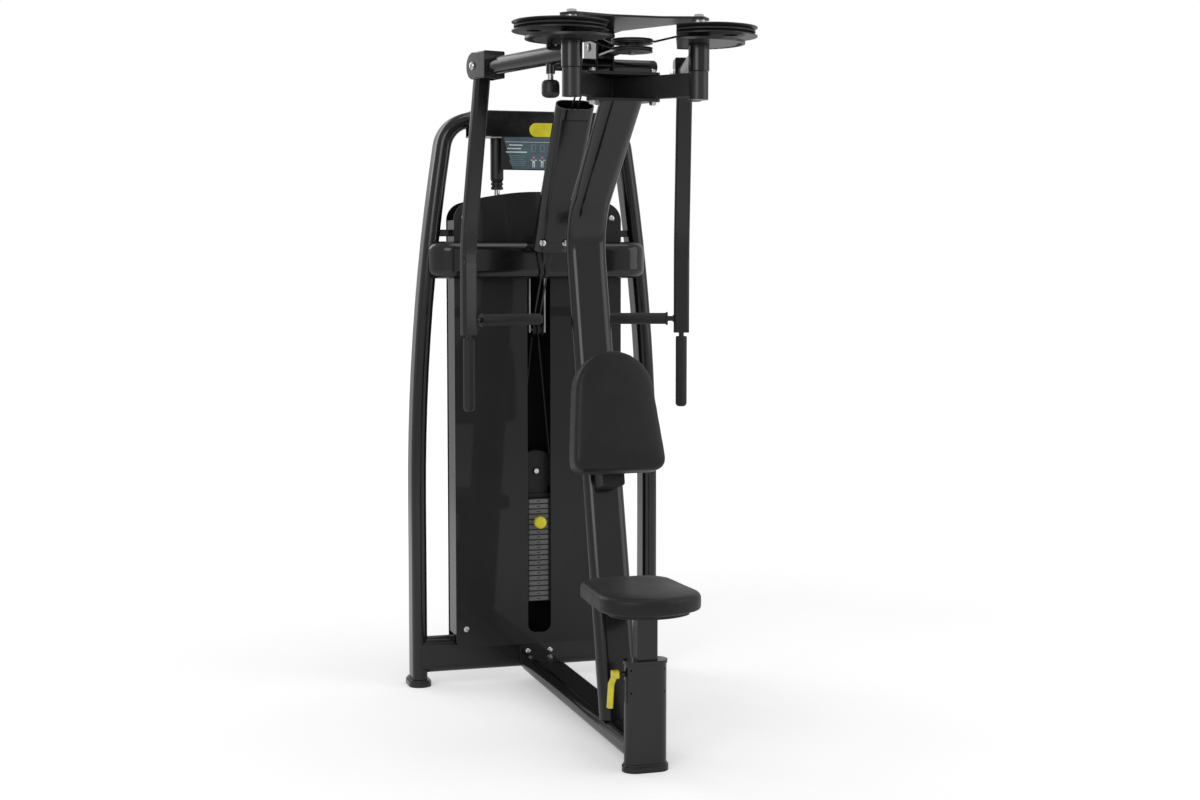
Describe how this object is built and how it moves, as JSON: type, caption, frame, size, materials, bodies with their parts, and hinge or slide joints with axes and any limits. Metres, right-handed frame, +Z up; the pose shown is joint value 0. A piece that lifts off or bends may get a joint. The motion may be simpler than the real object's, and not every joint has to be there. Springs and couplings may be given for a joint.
{
  "type": "pec fly and rear delt machine",
  "caption": "Selectorised seated chest-fly and rear-delt machine: padded seat and back, two swinging overhead arms with hanging handles, cables to a shrouded weight stack.",
  "frame": {"origin": "on the floor, under the middle of the front column", "axes": "+Z up, +Y from the seat towards the weight stack, +X to the right when facing +Y"},
  "size_m": [0.87, 1.392, 2.074],
  "materials": {
    "frame_paint": "glossy charcoal powder coat",
    "shroud_black": "high gloss black sheet",
    "shroud_shell": "glossy charcoal",
    "cover_black": "glossy moulded cover",
    "pad_black": "matte black vinyl",
    "board_black": "moulded backing",
    "grip_rubber": "matte grip rubber",
    "cap_plastic": "moulded cap",
    "bumper_rubber": "soft bumper",
    "cam_black": "satin black",
    "steel_bright": "polished",
    "steel_brushed": "ground shaft",
    "plate_iron": "black enamel on iron",
    "pulley_nylon": "turned nylon",
    "cable_black": "coated wire rope",
    "accent_yellow": "yellow moulding",
    "placard_teal": "printed sheet"
  },
  "bodies": {
    "frame": {"rear_arch": "frame_paint", "floor_caps": "cap_plastic", "lower_crossbar": "frame_paint", "mid_crossbar": "frame_paint", "base_beam": "frame_paint", "front_column": "frame_paint", "column_cap": "cap_plastic", "main_column": "frame_paint", "rear_strut": "frame_paint", "frame_fasteners": "steel_bright", "back_pad": "pad_black", "back_pad_board": "board_black", "back_pad_bracket": "frame_paint", "shroud_tabs": "frame_paint", "shroud_front": "shroud_black", "shroud_shell": "shroud_shell", "top_cover": "cover_black", "placard": "placard_teal", "yoke": "frame_paint", "clamp_plates": "frame_paint", "top_plate": "frame_paint", "stop_bar": "frame_paint", "pivot_shafts": "steel_brushed", "pulley_axles": "steel_brushed", "arm_cables": "cable_black", "stack_cable": "cable_black", "plates_resting": "plate_iron", "guide_rods": "steel_bright", "rod_sleeves": "cap_plastic", "stack_bumpers": "bumper_rubber"},
    "left_cam_group": {"left_range_plate": "cam_black", "left_cam": "cam_black"},
    "left_arm_group": {"left_arm": "frame_paint", "left_arm_bushes": "pulley_nylon", "left_handle_bolt": "steel_bright"},
    "left_handle_group": {"left_handle_tube": "frame_paint", "left_grips": "grip_rubber"},
    "left_pin_group": {"left_pull_pin": "steel_bright"},
    "right_cam_group": {"right_range_plate": "cam_black", "right_cam": "cam_black"},
    "right_arm_group": {"right_arm": "frame_paint", "right_arm_bushes": "pulley_nylon", "right_handle_bolt": "steel_bright"},
    "right_handle_group": {"right_handle_tube": "frame_paint", "right_grips": "grip_rubber"},
    "right_pin_group": {"right_pull_pin": "steel_bright"},
    "upper_centre_pulley_wheel": {"upper_centre_pulley": "pulley_nylon"},
    "lower_centre_pulley_wheel": {"lower_centre_pulley": "pulley_nylon"},
    "cheek_pulleys_wheel": {"cheek_pulleys": "pulley_nylon"},
    "strut_pulleys_wheel": {"strut_pulleys": "pulley_nylon"},
    "stack_rollers_wheel": {"stack_rollers": "pulley_nylon"},
    "carriage_pulley_wheel": {"carriage_pulley": "pulley_nylon"},
    "carriage": {"weight_carriage": "plate_iron", "plates_lifted": "plate_iron"},
    "selector": {"selector_pin": "accent_yellow"},
    "seat": {"seat_pad": "pad_black", "seat_board": "board_black", "seat_post": "frame_paint"},
    "lever": {"seat_lever": "accent_yellow"},
    "latch": {"seat_latch": "steel_brushed"}
  },
  "joints": [
    {"name": "fly_left", "type": "hinge", "parent": "frame", "child": "left_cam_group", "pos_m": [-0.182, 0.09, 0], "axis": [0, 0, 1], "range_deg": [0, 110], "deforming": ["arm_cables", "stack_cable"]},
    {"name": "left_arm_set", "type": "hinge", "parent": "left_cam_group", "child": "left_arm_group", "pos_m": [-0.182, 0.09, 0], "axis": [0, 0, 1], "range_deg": [0, 50]},
    {"name": "left_handle_swing", "type": "hinge", "parent": "left_arm_group", "child": "left_handle_group", "pos_m": [-0.3131, 0.5725, 1.965], "axis": [0.965, 0.2622, 0], "range_deg": [-8, 20]},
    {"name": "left_pull_pin_slide", "type": "slide", "parent": "left_arm_group", "child": "left_pin_group", "axis": [0, 0, 1], "range_m": [0, 0.012]},
    {"name": "fly_right", "type": "hinge", "parent": "frame", "child": "right_cam_group", "pos_m": [0.182, 0.09, 0], "axis": [0, 0, -1], "range_deg": [0, 110]},
    {"name": "right_arm_set", "type": "hinge", "parent": "right_cam_group", "child": "right_arm_group", "pos_m": [0.182, 0.09, 0], "axis": [0, 0, -1], "range_deg": [0, 50]},
    {"name": "right_handle_swing", "type": "hinge", "parent": "right_arm_group", "child": "right_handle_group", "pos_m": [0.3131, 0.5725, 1.965], "axis": [0.965, -0.2622, 0], "range_deg": [-8, 20]},
    {"name": "right_pull_pin_slide", "type": "slide", "parent": "right_arm_group", "child": "right_pin_group", "axis": [0, 0, 1], "range_m": [0, 0.012]},
    {"name": "upper_centre_spin", "type": "hinge", "parent": "frame", "child": "upper_centre_pulley_wheel", "pos_m": [0, 0.127, 1.997], "axis": [0, 0, 1], "range_deg": [0, 245.1]},
    {"name": "lower_centre_spin", "type": "hinge", "parent": "frame", "child": "lower_centre_pulley_wheel", "pos_m": [0, 0.127, 1.974], "axis": [0, 0, -1], "range_deg": [0, 245.1]},
    {"name": "cheek_spin", "type": "hinge", "parent": "frame", "child": "cheek_pulleys_wheel", "pos_m": [0, 0.445, 2.016], "axis": [1, 0, 0], "range_deg": [0, 362.1]},
    {"name": "strut_spin", "type": "hinge", "parent": "frame", "child": "strut_pulleys_wheel", "pos_m": [0, 0.712, 1.822], "axis": [1, 0, 0], "range_deg": [0, 798.1]},
    {"name": "roller_spin", "type": "hinge", "parent": "frame", "child": "stack_rollers_wheel", "pos_m": [0, 1.14, 1.172], "axis": [1, 0, 0], "range_deg": [0, 643.2]},
    {"name": "carriage_lift", "type": "slide", "parent": "frame", "child": "carriage", "axis": [0, 0, 1], "range_m": [0, 0.231]},
    {"name": "carriage_pulley_spin", "type": "hinge", "parent": "carriage", "child": "carriage_pulley_wheel", "pos_m": [0, 1.173, 0.7], "axis": [0, 1, 0], "range_deg": [-180, 180]},
    {"name": "selector_pull", "type": "slide", "parent": "carriage", "child": "selector", "axis": [0, -1, 0], "range_m": [0, 0.045]},
    {"name": "seat_slide", "type": "slide", "parent": "frame", "child": "seat", "axis": [0, 0, 1], "range_m": [-0.09, 0.09]},
    {"name": "seat_lever_tip", "type": "hinge", "parent": "frame", "child": "lever", "pos_m": [-0.084, 0, 0.272], "axis": [1, 0, 0], "range_deg": [0, 60]},
    {"name": "seat_latch_slide", "type": "slide", "parent": "frame", "child": "latch", "axis": [-1, 0, 0], "range_m": [0, 0.006]}
  ],
  "couplings": [
    {"joint": "fly_right", "follows": "fly_left", "ratio": 1},
    {"joint": "upper_centre_spin", "follows": "fly_left", "ratio": 2.2255},
    {"joint": "lower_centre_spin", "follows": "fly_left", "ratio": 2.2255},
    {"joint": "cheek_spin", "follows": "fly_left", "ratio": 3.2896},
    {"joint": "strut_spin", "follows": "fly_left", "ratio": 7.253},
    {"joint": "roller_spin", "follows": "fly_left", "ratio": 5.8447},
    {"joint": "carriage_lift", "follows": "fly_left", "m_per_rad": 0.12},
    {"joint": "seat_latch_slide", "follows": "seat_lever_tip", "m_per_rad": 0.0057}
  ]
}
